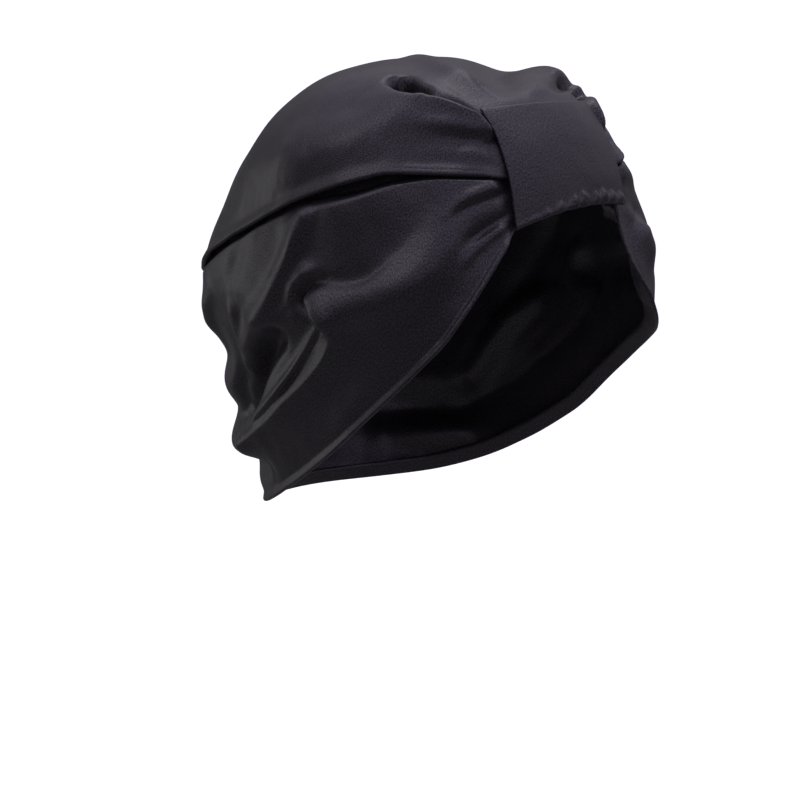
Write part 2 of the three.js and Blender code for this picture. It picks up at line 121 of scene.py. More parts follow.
# Paths on the wrap run through (azimuth, z).
WRAP_FOLDS = (
    Fold("sash", 6.5, 8, 12, 2, 0, 0.2, 0.9,
         ((-27, -49), (-37, -60), (-42, -76), (-48, -89), (-59, -99), (-73, -105.5))),
    Fold("sash_seat", -1.8, 2.4, 6, 2, 0, 0.2, 0.8,
         ((-51.4, -71), (-56.4, -80), (-62.2, -88.2), (-68.7, -91.2), (-72.9, -91.1), (-76.8, -91.6),
          (-80, -95))),
    Fold("pinch_tip", 3.5, 9, 1.8, 2, -1, 0.9, 0.1,
         ((-81.5, -99), (-77.5, -104.5), (-73.5, -110), (-72, -116))),
    Fold("pinch_cord", 4.8, 6, 7, 1.4, 0, 0.3, 0.8,
         ((-77, -105.5), (-73.2, -109), (-72, -112.5), (-73, -118), (-77.4, -128.3), (-85.3, -139.7),
          (-95.7, -151), (-105.3, -162), (-121, -174))),
    Fold("pinch_slot", -2.6, 1.1, 1.8, 2, 0, 0.6, 0.3,
         ((-77, -111), (-78.4, -114.3), (-82.4, -122.4), (-88.4, -133.2), (-95.2, -143.2),
          (-106.2, -156.4), (-116.4, -165.8))),
    Fold("pinch_high", 3.8, 1.6, 3.6, 2, 0.6, 0.3, 0.5,
         ((-77.2, -110), (-81.6, -120), (-87.3, -130.2), (-93.6, -139.3), (-104.2, -153.2),
          (-113.5, -162.3))),
    Fold("pinch_pocket", -4.5, 2.4, 2.4, 2, 0, 0.2, 0.5,
         ((-76, -90.5), (-81, -93.2), (-84, -98), (-84.5, -104), (-81, -110))),
    Fold("pinch_arc", 3.2, 2.4, 5, 2, 0, 0.2, 0.2,
         ((-73, -86.5), (-82, -88.5), (-86, -93), (-88.6, -99), (-91.2, -104))),
    Fold("hollow", -10, 5.2, 5.5, 2.2, 0, 0.6, 0.7,
         ((-98, -122), (-106, -132), (-113, -146), (-119, -160))),
    Fold("hollow_side", -5, 6, 6, 2, 0, 0.3, 0.6,
         ((-116, -134), (-121, -144), (-124, -155), (-125, -164))),
    Fold("hollow_brow", 5.5, 4.5, 8, 2, 0, 0.4, 0.6,
         ((-89, -109), (-99, -112.5), (-107, -120.5), (-114, -137))),
    Fold("brow", 4.5, 4.5, 7, 2, 0, 0.7, 0.5,
         ((-85, -65), (-87.5, -75), (-91, -87), (-97, -100.5), (-104, -111))),
    Fold("temple_stripe", -1.4, 6, 6, 2, 0, 0.5, 0.3, ((-114.5, -80), (-116, -91), (-120, -102))),
    Fold("tuck_lip", 3.5, 18, 2.5, 2, 0, 0.2, 0.6,
         ((-45, -46), (-53.4, -48), (-62.4, -52.5), (-70.6, -56.5), (-80, -60.5), (-89, -65))),
    Fold("back_ridge", 3, 5, 4, 2, 0, 0.4, 0.6, ((-119.5, -105), (-117.5, -115), (-116.5, -128))),
    Fold("back_lump", 4, 5, 8, 2, 0, 0.4, 0.4, ((-134, -106), (-138, -118), (-136, -130))),
    Fold("nape_dent", -5, 9, 10, 2, 0, 0.3, 0.3, ((-122, -132), (-138, -137), (-160, -139))),
    Fold("nape_fold", -4, 6, 7, 2, 0, 0.3, 0.3, ((-118, -160), (-135, -164), (-156, -165))),
    Fold("nape_roll", 4, 6, 7, 2, 0, 0.3, 0.4, ((-112, -173), (-128, -178), (-152, -179))),
    Fold("nape_notch", -8, 6, 6, 2, 0, 0.3, 0.4, ((-114, -187), (-130, -190), (-150, -191))),
    Fold("low_stripe", 1.2, 6, 9, 2, 0, 0.2, 0.2, ((-50, -124), (-65, -142), (-77, -163))),
    Fold("temple_roll", 1.9, 2, 3, 2, 0, 1, 0.2, ((-21, -46.5), (-28, -48.5), (-35.5, -53), (-40, -60))),
    Fold("temple_dip", -1.6, 2.4, 2.2, 2, 0, 1, 0.1, ((-21, -50.5), (-28, -53), (-36, -58), (-42, -66))),
    Fold("temple_slot", -1.6, 2, 2.4, 2, 0, 1, 0.1, ((-21, -59.5), (-27, -63), (-34, -70), (-38, -78))),
    Fold("temple_low", 1.3, 2.2, 2.2, 2, 0, 1, 0.1, ((-21, -62.5), (-27, -67), (-34, -76), (-38, -86))),
)
# The wrap's folds show again on the far side, as a share of their rise and with a least width.
FAR_SIDE_SHARE = 0.7
FAR_SIDE_WIDTH = 5
FAR_FOLDS = (
    Fold("far_hem_roll", 5.5, 8, 8, 2, 0, 0.1, 0.2, ((28, -69), (31, -80), (36, -96))),
)
WRAP_MAP = 1.55  # millimetres of cloth per degree where the wrap is laid out flat
FOLD_STEPS = 24  # straight pieces in a fold's path
FOLD_FADE = 0.4  # share of a path over which a fold reaches its full rise
FOLD_REACH = 3  # widths from its path beyond which a fold is left out

# A gentle unevenness of the cloth, as waves: length, height, direction on the layout, and start
WAVES = (
    (67, 0.3, 25, 0.4), (43, 0.2, 80, 2.1), (31, 0.12, 135, 4.0), (24, 0.08, 50, 1.2),
)
WAVE_FADE = (150, 180)  # azimuths over which the wrap's waves fade out, so that its ends meet

# Cloth and edges
CLOTH = 0.9  # wall of the crown and the wrap
CROWN_ROLL = 1.1  # radius of the crown's rolled lower edge
CROWN_LEG = 9  # how far the crown's cloth runs back up inside
CROWN_EDGE_RUN = 6  # height over the edge below which valleys fade out
CROWN_BULGE = (1.7, 1.2, 3.2)  # rise, height over the edge and width of the fullness along the edge
CROWN_GROOVE = (-0.2, 2.4, 0.8)  # the same for the groove of the edge's seam
HEM_TURN = 0.95  # radius of the wrap's turned hem
HEM_LEG = 7  # how far the wrap's cloth runs back up inside
HEM_FLARE = (2.3, -1.0, 3.6)  # how far the hem stands off, and the heights over it where that fades out
TURN_STEPS = 6  # straight pieces in the half circle of a turned edge
LEG_STEPS = 3  # straight pieces on its way back up
LEG_LEAN = 0.15  # how far it leans inwards for each millimetre of that way
RIM_PASSES = 3  # times that the directions along a turned edge are evened out

# Front band
BAND_WALL = 1.5
BAND_TOP_HALF = 34  # half of the width at the top
BAND_FOOT_HALF = 35.8
BAND_TOP = (-14.2, -0.6, 1.8)  # height in the middle, rise to the left and drop at the sides
BAND_FOOT = (-59.2, 2.5, 5)
# The band's turn round the rim, as (distance off the form, height over the foot)
BAND_TURN = (
    (1.4, 4), (0.9, 1.1), (-0.8, 0), (-4, 1.2), (-7.5, 3.5), (-9.5, 7), (-9.8, 14), (-9.8, 20),
)
# The casing along the foot, from right to left: place and height of its gathered upper edge over the foot
GATHERS = (
    (-36, 3.2), (-30, 3.0), (-26, 3.6), (-23, 3.0), (-20, 4.4), (-17.5, 3.0), (-15, 4.0), (-12, 5.2),
    (-9, 3.0), (-6, 4.4), (-3, 6.4), (-0.5, 4), (2.4, 7.2), (5.5, 5), (8.5, 3), (11, 6), (13.5, 4.4),
    (17, 7), (20, 4.2), (24, 6), (27.5, 4), (31, 5.6), (36, 4),
)
GATHER_RISE = 0.32  # how far the casing stands out, as a share of its height
GATHER_RUN = 2.2  # height below its upper edge over which it sinks to the band's face
GATHER_OFF = (-4, 0.9)  # distances off the form between which it grows out of the band's inside
GATHER_SAG = 0.5  # how far it hangs below the foot, as a share of its rise
GATHER_SAG_RUN = 4  # height over the foot above which it no longer hangs lower

# How the crown and the wrap lie under the band and under each other
# Distances to the side over which the band lets the cloth go, in its upper and in its lower part
PRESS_SIDES = ((33, 36.5), (35.5, 43.5))
PRESS_CHANGE = (-24, -33)  # heights over which the upper part changes to the lower
PRESS_TOP = (-3, -12)  # heights over which the band takes hold
CROWN_HELD = -0.9  # distance off the form at which the band holds the crown
WRAP_HELD = (-4.6, -2.0)  # the same for the wrap, behind the crown's edge and below it
WRAP_HELD_RUN = 8  # distance below the crown's edge over which the first changes to the second
HEM_LIFT = 5.5  # height over the band's foot at which the hem ends inside the band's loop
HEM_LIFT_SIDE = (30, 35)  # distances to the side over which it comes down to its line
TUCK_UP = 12  # how far the wrap runs up behind the crown
TUCK_DEPTH = 3.9  # how deep it lies there
TUCK_DEEPER = 0.8  # more depth for each millimetre of the gap under the crown's edge
TUCK_RUN = 4  # distance over which it comes out again
# How far below the crown's edge the wrap stays deep, as (azimuth, distance)
TUCK_GAP = (
    (0, -2), (40, -2), (47, -1.4), (53, 0.4), (62, 2.2), (70, 2.6), (80, 1.2), (90, 0), (104, -0.4),
    (120, -0.2), (180, 0.2),
)

# Mesh steps
CROWN_CELLS = 194  # cells of the crown each way
FRONT_DENSITY = 0.3  # how far the crown's cells are drawn to the front
WRAP_ROWS = 104
WRAP_TUCK_SHARE = 0.06  # share of the rows that lies behind the crown
# Degrees between the wrap's columns, from each azimuth on
COLUMN_STEPS = (
    (-180, 1.6), (-132, 0.55), (-15, 1.5), (15, 0.4), (32, 0.9), (50, 1.6), (180, 1.6),
)
SEAM_REACH = 0.01  # the wrap's two ends lie closer than this, and are joined
BAND_CELLS = (100, 72)  # across and along
BAND_ROUNDING = 1  # subdivisions that round the band's edges
STATION_STEP = 0.02  # steps that find directions on the worn form
AZIMUTH_STEP = 1.0
DISTANCE_STEPS = 12  # straight pieces in a distance over the cloth
FINE_STEPS = 2000  # entries of the table that finds the station of a height
TINY = 1e-9  # keeps divisors from zero

# Satin
GRAIN = 0.55  # threads are about 0.1 mm wide; their grain is drawn coarser so that it shows
GRAIN_DETAIL = 2.0
GRAIN_RANGE = (0.32, 0.68)  # the part of the noise that is used
GRAIN_HEIGHT = 0.1
GRAIN_STRENGTH = 0.5
FLOAT_SQUEEZE = 0.6  # the grain is longer along the floats
MOTTLE = 13  # soft unevenness of the cloth's face
MOTTLE_HEIGHT = 0.7
MOTTLE_STRENGTH = 1.0
CLOUD = 45  # wide patches of more and less gloss
SOFT_DETAIL = 1.0  # detail of the mottle and of the patches
SATIN_ROUGH = (0.29, 0.37)  # in the glossier and in the duller patches
SATIN_SHADES = ("#0c0b0d", "#17151a")  # in the dips and on the tops of the grain
SATIN_GLEAMS = ("#8b8694", "#f8f2fd")  # the same for the gloss
SATIN_IOR = 1.5
SATIN_SPECULAR = 0.85
SATIN_ANISOTROPY = 0.4
SHEEN_WEIGHT = 0.04
SHEEN_ROUGH = 0.4
SHEEN_TINT = "#c9c2d6"

# Studio, in metres
WHITE = "#ffffff"
PAPER = "#fbfbfd"
PAPER_ROUGH = 0.9
FLOOR_Z = -0.5
FLOOR_RADIUS = 14
FLOOR_SIDES = 96
FLOOR_GLOW = 0.56  # light of its own, which keeps the paper white
SKY_LEAN = (0.05, -0.2, 1)  # the light grows upwards and a little to the front
SKY_BELOW = 0.1  # strength of the light from below
SKY_SIDES = (-0.1, 0.7, 0.62)  # where along that direction more light begins and ends, and how much
SKY_TINT = "#eee4ff"  # colour of the light from above
STUDIO_WHITE = 1.0  # strength of the white that the camera sees
LIT_POINT = (0, 0, -0.08)  # where the soft boxes point
SOFT_BOXES = (
    # name, place, diameter, watts
    ("overhead_box", (0.2, 0.15, 1.1), 1.0, 3.6),
    ("front_box", (0.42, -0.72, 0.92), 0.6, 0.5),
    ("rear_box", (-0.52, 1.3, -0.1), 0.8, 1.0),
    ("side_box", (-1.0, 0.57, 0.9), 0.9, 1.5),
)
CAMERA_ANGLES = (-45, 10)  # azimuth and elevation
CAMERA_DISTANCE = 1.7
CAMERA_SPAN = 0.3696  # width of the picture at the cap
CAMERA_AIM = (-0.01317, -0.15625)  # the picture's centre from the origin, to the right and up
SENSOR_WIDTH = 36  # millimetres


def ease(value, low, high):
    """0 below low, 1 above high and a smooth rise between them."""
    share = np.clip((value - low) / (high - low), 0, 1)
    return share * share * (3 - 2 * share)


def mix(a, b, share):
    """Value at a share of the way from a to b."""
    return a + (b - a) * share


def between(a, b, slope_a, slope_b, t):
    """Smooth value from a to b at a share t of the step, with the slopes at both ends."""
    rest = 1 - t
    ends = (1 + 2 * t) * rest * rest * a + t * t * (3 - 2 * t) * b
    return ends + t * rest * (rest * slope_a - t * slope_b)


def curve(places, values, at):
    """Values between the entries of a table, on a smooth curve that is level at both ends."""
    places, values = np.asarray(places, float), np.asarray(values, float)
    slopes = np.zeros_like(values)
    slopes[1:-1] = (values[2:] - values[:-2]) / (places[2:] - places[:-2])
    at = np.clip(at, places[0], places[-1])
    i = np.clip(np.searchsorted(places, at, side="right") - 1, 0, len(places) - 2)
    step = places[i + 1] - places[i]
    t = (at - places[i]) / step
    return between(values[i], values[i + 1], step * slopes[i], step * slopes[i + 1], t)


def form_columns():
    """The columns of the worn form, with a mirrored row above the apex that rounds the top."""
    rows = np.array(FORM_ROWS)
    mirrored = rows[1] * (1, -1, -1, -1, 1)
    return dict(zip(FORM_NAMES, np.vstack([mirrored, rows]).T))


FORM = form_columns()
STATIONS = np.arange(-1, len(FORM_ROWS))
FINE_STATIONS = np.linspace(0, len(FORM_ROWS) - 1, FINE_STEPS)
FINE_HEIGHTS = curve(STATIONS, FORM["z"], FINE_STATIONS)


def station_at(z):
    """Station of the worn form at a height, the apex being station 0."""
    return np.interp(-z, -FINE_HEIGHTS, FINE_STATIONS)


def form_point(station, azimuth):
    """Points of the worn form."""
    angle = np.radians(azimuth)
    cos, sin = np.cos(angle), np.sin(angle)
    size = {name: curve(STATIONS, FORM[name], station) for name in FORM_NAMES}
    reach = np.maximum(np.where(cos > 0, size["front"], size["back"]), TINY)
    half = np.maximum(size["half"], TINY)
    power = size["round"]
    radius = (np.abs(cos / reach) ** power + np.abs(sin / half) ** power) ** (-1 / power)
    return np.stack([radius * sin, -radius * cos, size["z"]], axis=-1)


def unit(vectors):
    """Vectors of the same direction, one long."""
    return vectors / np.maximum(np.linalg.norm(vectors, axis=-1, keepdims=True), TINY)


def form_axes(station, azimuth):
    """Directions on the worn form: outwards, down the cloth and round to the wearer's left."""
    middle = np.maximum(station, STATION_STEP)
    down = form_point(middle + STATION_STEP, azimuth) - form_point(middle - STATION_STEP, azimuth)
    left = form_point(middle, azimuth + AZIMUTH_STEP) - form_point(middle, azimuth - AZIMUTH_STEP)
    return unit(np.cross(down, left)), unit(down), unit(left)


def cloth_distance(station, azimuth):
    """Distance over the cloth from the apex."""
    points = [form_point(station * k / DISTANCE_STEPS, azimuth) for k in range(DISTANCE_STEPS + 1)]
    return sum(np.linalg.norm(b - a, axis=-1) for a, b in zip(points, points[1:]))


def line_height(line, azimuth):
    """Height of one of the lines round the cap, at azimuths to either side."""
    places, heights = zip(*line)
    return curve(places, heights, np.abs((np.asarray(azimuth) + HALF_TURN) % FULL_TURN - HALF_TURN))


def crown_flat(azimuth, distance):
    """Layout of the crown, seen from above its apex."""
    angle = np.radians(azimuth)
    return np.stack([distance * np.sin(angle), -distance * np.cos(angle)], axis=-1)


def wrap_flat(azimuth, z):
    """Layout of the wrap, unrolled."""
    return np.stack([azimuth * WRAP_MAP, z], axis=-1)


def path_points(knots):
    """Points of a smooth path through knots of a layout."""
    last = len(knots) - 1
    slopes = np.gradient(knots, axis=0)
    at = np.linspace(0, last, FOLD_STEPS + 1)
    i = np.minimum(at.astype(int), last - 1)
    return between(knots[i], knots[i + 1], slopes[i], slopes[i + 1], (at - i)[:, None])


def along_path(points, at):
    """For each place of a layout: its distance from a path, its side from -1 on the right to 1 on the
    left, the share of the path up to there, and the direction to the left."""
    starts, runs = points[:-1], np.diff(points, axis=0)
    off = at[:, None, :] - starts
    share = np.clip((off * runs).sum(-1) / (runs * runs).sum(-1), 0, 1)
    gaps = np.linalg.norm(off - share[..., None] * runs, axis=-1)
    best = gaps.argmin(axis=1)
    rows = np.arange(len(at))
    run, gap = runs[best], gaps[rows, best]
    left = unit(np.stack([-run[:, 1], run[:, 0]], axis=-1))
    side = (left * off[rows, best]).sum(-1) / np.maximum(gap, TINY)
    return gap, np.clip(side, -1, 1), (best + share[rows, best]) / len(runs), left


def fold_field(folds, layout, at):
    """Rise of the cloth and its sideways shift on the layout, summed over folds."""
    rise, shift = np.zeros(len(at)), np.zeros_like(at)
    for fold in folds:
        points = path_points(layout(*np.array(fold.path, float).T))
        reach = FOLD_REACH * max(fold.left, fold.right)
        near = ((at > points.min(0) - reach) & (at < points.max(0) + reach)).all(axis=1)
        if not near.any():
            continue
        gap, side, share, left = along_path(points, at[near])
        width = mix(fold.right, fold.left, ease(side, -1, 1))
        begun = mix(fold.start, 1, ease(share, 0, FOLD_FADE))
        ended = mix(1, fold.end, ease(share, 1 - FOLD_FADE, 1))
        swell = begun * ended * np.exp(-((gap / width) ** fold.power))
        rise[near] += fold.rise * swell
        shift[near] += left * (fold.lean * swell)[:, None]
    return rise, shift


def far_copies():
    """The wrap's folds as they show on the far side."""
    return [fold._replace(left=max(fold.left, FAR_SIDE_WIDTH), right=max(fold.right, FAR_SIDE_WIDTH))
            for fold in WRAP_FOLDS]


def waves(flat):
    """Gentle unevenness of the cloth at places of a layout."""
    rise = np.zeros(len(flat))
    for length, height, direction, start in WAVES:
        angle = math.radians(direction)
        along = flat[:, 0] * math.cos(angle) + flat[:, 1] * math.sin(angle)
        rise += height * np.sin(2 * math.pi * along / length + start)
    return rise


def edge_ridge(shape, up):
    """A small ridge or groove along an edge, at heights over it."""
    rise, middle, width = shape
    return rise * np.exp(-(((up - middle) / width) ** 2))


def band_press(point):
    """How firmly the band holds the cloth at points of the worn form, 0 to 1."""
    low = ease(-point[:, 2], -PRESS_CHANGE[0], -PRESS_CHANGE[1])
    inner, outer = (mix(above, below, low) for above, below in zip(*PRESS_SIDES))
    across = 1 - ease(np.abs(point[:, 0]), inner, outer)
    return across * ease(-point[:, 2], -PRESS_TOP[0], -PRESS_TOP[1]) * (point[:, 1] < 0)


def crown_points(station, azimuth):
    """Points of the crown's outer face and their places on its flat layout."""
    base = form_point(station, azimuth)
    out, down, left = form_axes(station, azimuth)
    flat = crown_flat(azimuth, cloth_distance(station, azimuth))
    rise, shift = fold_field(CROWN_FOLDS, crown_flat, flat)
    up = base[:, 2] - line_height(CROWN_LINE, azimuth)
    rise = mix(np.maximum(rise, 0), rise, ease(up, 0, CROWN_EDGE_RUN))
    rise += waves(flat) + edge_ridge(CROWN_BULGE, up) + edge_ridge(CROWN_GROOVE, up)
    press = band_press(base)
    rise = mix(rise, CROWN_HELD, press)
    shift = shift * (1 - press)[:, None]
    angle = np.radians(azimuth)
    lower = shift[:, 0] * np.sin(angle) - shift[:, 1] * np.cos(angle)
    aside = shift[:, 0] * np.cos(angle) + shift[:, 1] * np.sin(angle)
    return base + out * rise[:, None] + down * lower[:, None] + left * aside[:, None], flat


def band_end(end, across):
    """Height of one of the band's ends at a place across it, -1 to 1."""
    middle, tilt, drop = end
    return middle + tilt * across - drop * across * across


def wrap_hem(azimuth):
    """Height of the wrap's hem, which ends higher inside the band's loop."""
    line = np.where(azimuth > 0, line_height(LEFT_HEM_LINE, azimuth), line_height(HEM_LINE, azimuth))
    at = form_point(station_at(line), azimuth)
    loop = band_end(BAND_FOOT, np.clip(at[:, 0] / BAND_FOOT_HALF, -1, 1)) + HEM_LIFT
    inside = (1 - ease(np.abs(at[:, 0]), *HEM_LIFT_SIDE)) * (at[:, 1] < 0)
    return mix(line, loop, inside)


def wrap_heights(share, edge, hem):
    """Heights of the wrap's rows, from its tucked top at share 0 past the crown's edge to its hem."""
    tucked = edge + TUCK_UP * (1 - np.minimum(share / WRAP_TUCK_SHARE, 1))
    free = np.maximum(share - WRAP_TUCK_SHARE, 0) / (1 - WRAP_TUCK_SHARE)
    return mix(tucked, hem, free)


def wrap_folds(azimuth, flat):
    """Rise of the wrap's free cloth and its shift on the layout."""
    rise, shift = fold_field(WRAP_FOLDS + FAR_FOLDS, wrap_flat, flat)
    rise += FAR_SIDE_SHARE * fold_field(far_copies(), wrap_flat, flat * (-1, 1))[0]
    rise += waves(flat) * (1 - ease(np.abs(azimuth), *WAVE_FADE))
    return rise, shift


def wrap_points(azimuth, share):
    """Points of the wrap's outer face, from its tucked top at share 0 to its hem, and their layout."""
    edge = line_height(CROWN_LINE, azimuth)
    hem = wrap_hem(azimuth) + HEM_TURN
    z = wrap_heights(share, edge, hem)
    station = station_at(z)
    base = form_point(station, azimuth)
    out, down, left = form_axes(station, azimuth)
    flat = wrap_flat(azimuth, z)
    rise, shift = wrap_folds(azimuth, flat)
    flare, flare_low, flare_high = HEM_FLARE
    rise += flare * (1 - ease(z - hem, flare_low, flare_high))
    gap = line_height(TUCK_GAP, azimuth)
    loose = ease(edge - z, gap, gap + TUCK_RUN)
    press = band_press(base)
    held = mix(*WRAP_HELD, ease(edge - z, 0, WRAP_HELD_RUN))
    rise = mix(mix(-TUCK_DEPTH - TUCK_DEEPER * np.maximum(gap, 0), rise, loose), held, press)
    shift = shift * (loose * (1 - press))[:, None]
    return base + out * rise[:, None] + left * shift[:, :1] - down * shift[:, 1:], flat


def casing(across, over, off):
    """Rise of the gathered casing, at places across, heights over the foot and distances off the form."""
    top = np.interp(across, *zip(*GATHERS))
    rise = GATHER_RISE * top * (1 - ease(over, top - GATHER_RUN, top))
    return rise * ease(off, *GATHER_OFF)


def band_points(across, share):
    """Points of the band's outer face, from its top edge down, round the rim and up inside, and their
    layout."""
    top, foot = band_end(BAND_TOP, across), band_end(BAND_FOOT, across)
    turn = path_points(np.array(BAND_TURN, float))
    run = np.concatenate([[0], np.cumsum(np.linalg.norm(np.diff(turn, axis=0), axis=1))])
    face = top - foot - turn[0, 1]
    along = share * (face + run[-1])
    under = np.maximum(along - face, 0)
    over = np.interp(under, run, turn[:, 1]) + np.maximum(face - along, 0)
    off = np.interp(under, run, turn[:, 0])
    half = mix(BAND_TOP_HALF, BAND_FOOT_HALF, np.clip(along / face, 0, 1))
    station = station_at(foot + over)
    front = curve(STATIONS, FORM["front"], station)
    azimuth = np.degrees(np.arcsin(across * half / front))
    gather = casing(across * half, over, off)
    points = form_point(station, azimuth)
    points += form_axes(station, azimuth)[0] * (off + gather)[:, None]
    points[:, 2] -= GATHER_SAG * gather * (1 - ease(over, 0, GATHER_SAG_RUN))
    return points, np.stack([across * half, -along], axis=-1)


def grid_cloth(cells):
    """A flat grid of cloth from -1 to 1 each way, and its vertices' places."""
    bm = bmesh.new()
    bmesh.ops.create_grid(bm, x_segments=cells[0], y_segments=cells[1], size=1)
    return bm, np.array([vert.co[:2] for vert in bm.verts])


def share_down(square):
    """Share of the way from the top of a grid to its foot."""
    return (1 - square[:, 1]) / 2


def move_cloth(bm, points, flat):
    """Moves a grid's vertices to their points and notes their places on the flat layout."""
    layer = bm.verts.layers.float_vector.new("flat")
    for vert, point, place in zip(bm.verts, points, flat):
        vert.co = point
        vert[layer] = (*place, 0)
    return layer


def run_on(vert, beside, facing):
    """Direction in which the cloth would run on beyond its edge at a vertex."""
    first = beside[0].co
    last = beside[-1].co if len(beside) > 1 else vert.co
    away = (first - last).cross(facing).normalized()
    centres = [face.calc_center_median() for face in vert.link_faces]
    if away.dot(vert.co - sum(centres, Vector()) / len(centres)) < 0:
        away.negate()
    return away


def rim_directions(edges):
    """For each vertex of an edge of the cloth: where the cloth faces and where it would run on."""
    verts = {vert for edge in edges for vert in edge.verts}
    beside = {vert: [edge.other_vert(vert) for edge in vert.link_edges if edge in edges] for vert in verts}
    facing = {vert: vert.normal.copy() for vert in verts}
    for _ in range(RIM_PASSES):
        facing = {vert: sum((facing[other] for other in beside[vert]), facing[vert]).normalized()
                  for vert in verts}
    return facing, {vert: run_on(vert, beside[vert], facing[vert]) for vert in verts}


def turn_under(bm, edges, layer, outward, radius, leg):
    """Turns an edge of the cloth under by half a circle and runs it back up inside. outward gives the
    direction on the layout in which the cloth runs on."""
    bm.normal_update()
    facing, away = rim_directions(edges)
    poses = {vert: (vert.co.copy(), facing[vert], away[vert], vert[layer].copy()) for vert in facing}
    steps = [(math.pi * k / TURN_STEPS, 0) for k in range(1, TURN_STEPS + 1)]
    steps += [(math.pi, leg * k / LEG_STEPS) for k in range(1, LEG_STEPS + 1)]
    for angle, back in steps:
        made = bmesh.ops.extrude_edge_only(bm, edges=list(edges))["geom"]
        inwards = radius * (math.cos(angle) - 1) - LEG_LEAN * back
        onwards = radius * math.sin(angle) - back
        fresh = {}
        for vert in (item for item in made if isinstance(item, bmesh.types.BMVert)):
            old = next(e.other_vert(vert) for e in vert.link_edges if e.other_vert(vert) in poses)
            fresh[vert] = poses[old]
            place, out, run, at = poses[old]
            vert.co = place + out * inwards + run * onwards
            vert[layer] = at + outward(at) * (radius * angle + back)
        poses = fresh
        edges = {item for item in made if isinstance(item, bmesh.types.BMEdge)}


def map_cloth(bm, layer, ring_width):
    """UV map of the flat layout in metres. Where a ring of that width closes, the map runs on."""
    uv = bm.loops.layers.uv.new("cloth")
    for face in bm.faces:
        across = [loop.vert[layer].x for loop in face.loops]
        closing = ring_width is not None and max(across) - min(across) > ring_width / 2
        for loop, x in zip(face.loops, across):
            if closing and x < 0:
                x += ring_width
            loop[uv].uv = (x * MM, loop.vert[layer].y * MM)


def link(name, data):
    """New object of the scene."""
    thing = bpy.data.objects.new(name, data)
    bpy.context.scene.collection.objects.link(thing)
    return thing


def link_mesh(name, bm, material):
    """New object at the origin with a finished mesh and its material."""
    mesh = bpy.data.meshes.new(name)
    bm.to_mesh(mesh)
    bm.free()
    mesh.materials.append(material)
    return link(name, mesh)


def finish_cloth(name, bm, layer, wall, material, ring_width=None):
    """Object of a cloth piece: metres, a flat UV map, smooth faces and a wall inside its outer face."""
    map_cloth(bm, layer, ring_width)
    for face in bm.faces:
        face.smooth = True
    bmesh.ops.scale(bm, vec=(MM, MM, MM), verts=bm.verts)
    piece = link_mesh(name, bm, material)
    solidify = piece.modifiers.new("wall", "SOLIDIFY")
    solidify.thickness = wall * MM
    solidify.offset = -1
    return piece


def make_crown(material):
    """The draped crown, on a square grid bent to a round one so that its top has no pole."""
    bm, square = grid_cloth((CROWN_CELLS, CROWN_CELLS))
    square[:, 1] -= FRONT_DENSITY * (1 - square[:, 1] ** 2)
    disc = square * np.sqrt(1 - square[:, ::-1] ** 2 / 2)
    azimuth = np.degrees(np.arctan2(disc[:, 0], -disc[:, 1]))
    station = np.hypot(*disc.T) * station_at(line_height(CROWN_LINE, azimuth) + CROWN_ROLL)
    layer = move_cloth(bm, *crown_points(station, azimuth))
    rim = {edge for edge in bm.edges if edge.is_boundary}
    turn_under(bm, rim, layer, lambda at: at.normalized(), CROWN_ROLL, CROWN_LEG)
    return finish_cloth("crown_cloth", bm, layer, CLOTH, material)


def wrap_columns():
    """Azimuths of the wrap's columns, close together on the near side, as a table over -1 to 1."""
    parts = [np.arange(start, stop, step)
             for (start, step), (stop, _) in zip(COLUMN_STEPS, COLUMN_STEPS[1:])]
    azimuths = np.concatenate(parts + [[HALF_TURN]])
    return np.linspace(-1, 1, len(azimuths)), azimuths


def below_crown(edge):
    """Whether an edge of the wrap lies below the crown's edge."""
    return all(vert.co.z < line_height(CROWN_LINE, math.degrees(math.atan2(vert.co.x, -vert.co.y)))
               for vert in edge.verts)


def make_wrap(material):
    """The wrap, a closed ring of cloth with a turned hem."""
    places, azimuths = wrap_columns()
    bm, square = grid_cloth((len(places) - 1, WRAP_ROWS))
    azimuth = np.interp(square[:, 0], places, azimuths)
    layer = move_cloth(bm, *wrap_points(azimuth, share_down(square)))
    bmesh.ops.remove_doubles(bm, verts=bm.verts, dist=SEAM_REACH)
    hem = {edge for edge in bm.edges if edge.is_boundary and below_crown(edge)}
    turn_under(bm, hem, layer, lambda at: Vector((0, -1, 0)), HEM_TURN, HEM_LEG)
    return finish_cloth("wrap_cloth", bm, layer, CLOTH, material, FULL_TURN * WRAP_MAP)


def make_band(material):
    """The front band, folded round the rim, with rounded edges and a gathered foot."""
    bm, square = grid_cloth(BAND_CELLS)
    layer = move_cloth(bm, *band_points(square[:, 0], share_down(square)))
    piece = finish_cloth("front_band_cloth", bm, layer, BAND_WALL, material)
    smooth = piece.modifiers.new("round_edges", "SUBSURF")
    smooth.levels = BAND_ROUNDING
    smooth.render_levels = BAND_ROUNDING
    return piece


def linear(colour):
    """Linear RGBA of an sRGB hex colour."""
    parts = [int(colour[i:i + 2], 16) / 255 for i in (1, 3, 5)]
    return (*(p / 12.92 if p <= 0.04045 else ((p + 0.055) / 1.055) ** 2.4 for p in parts), 1)


def add(tree, kind, inputs=None, **settings):
    """Adds a node with its settings, and sets or links its inputs."""
    node = tree.nodes.new(kind)
    for name, value in settings.items():
        setattr(node, name, value)
    for name, value in (inputs or {}).items():
        if isinstance(value, bpy.types.NodeSocket):
            tree.links.new(value, node.inputs[name])
        else:
            node.inputs[name].default_value = value
    return node


def add_noise(tree, place, size, detail):
    """Noise over the flat cloth, with patches of a size in millimetres."""
    inputs = {"Vector": place, "Scale": 1 / (size * MM), "Detail": detail}
    return add(tree, "ShaderNodeTexNoise", inputs).outputs[0]


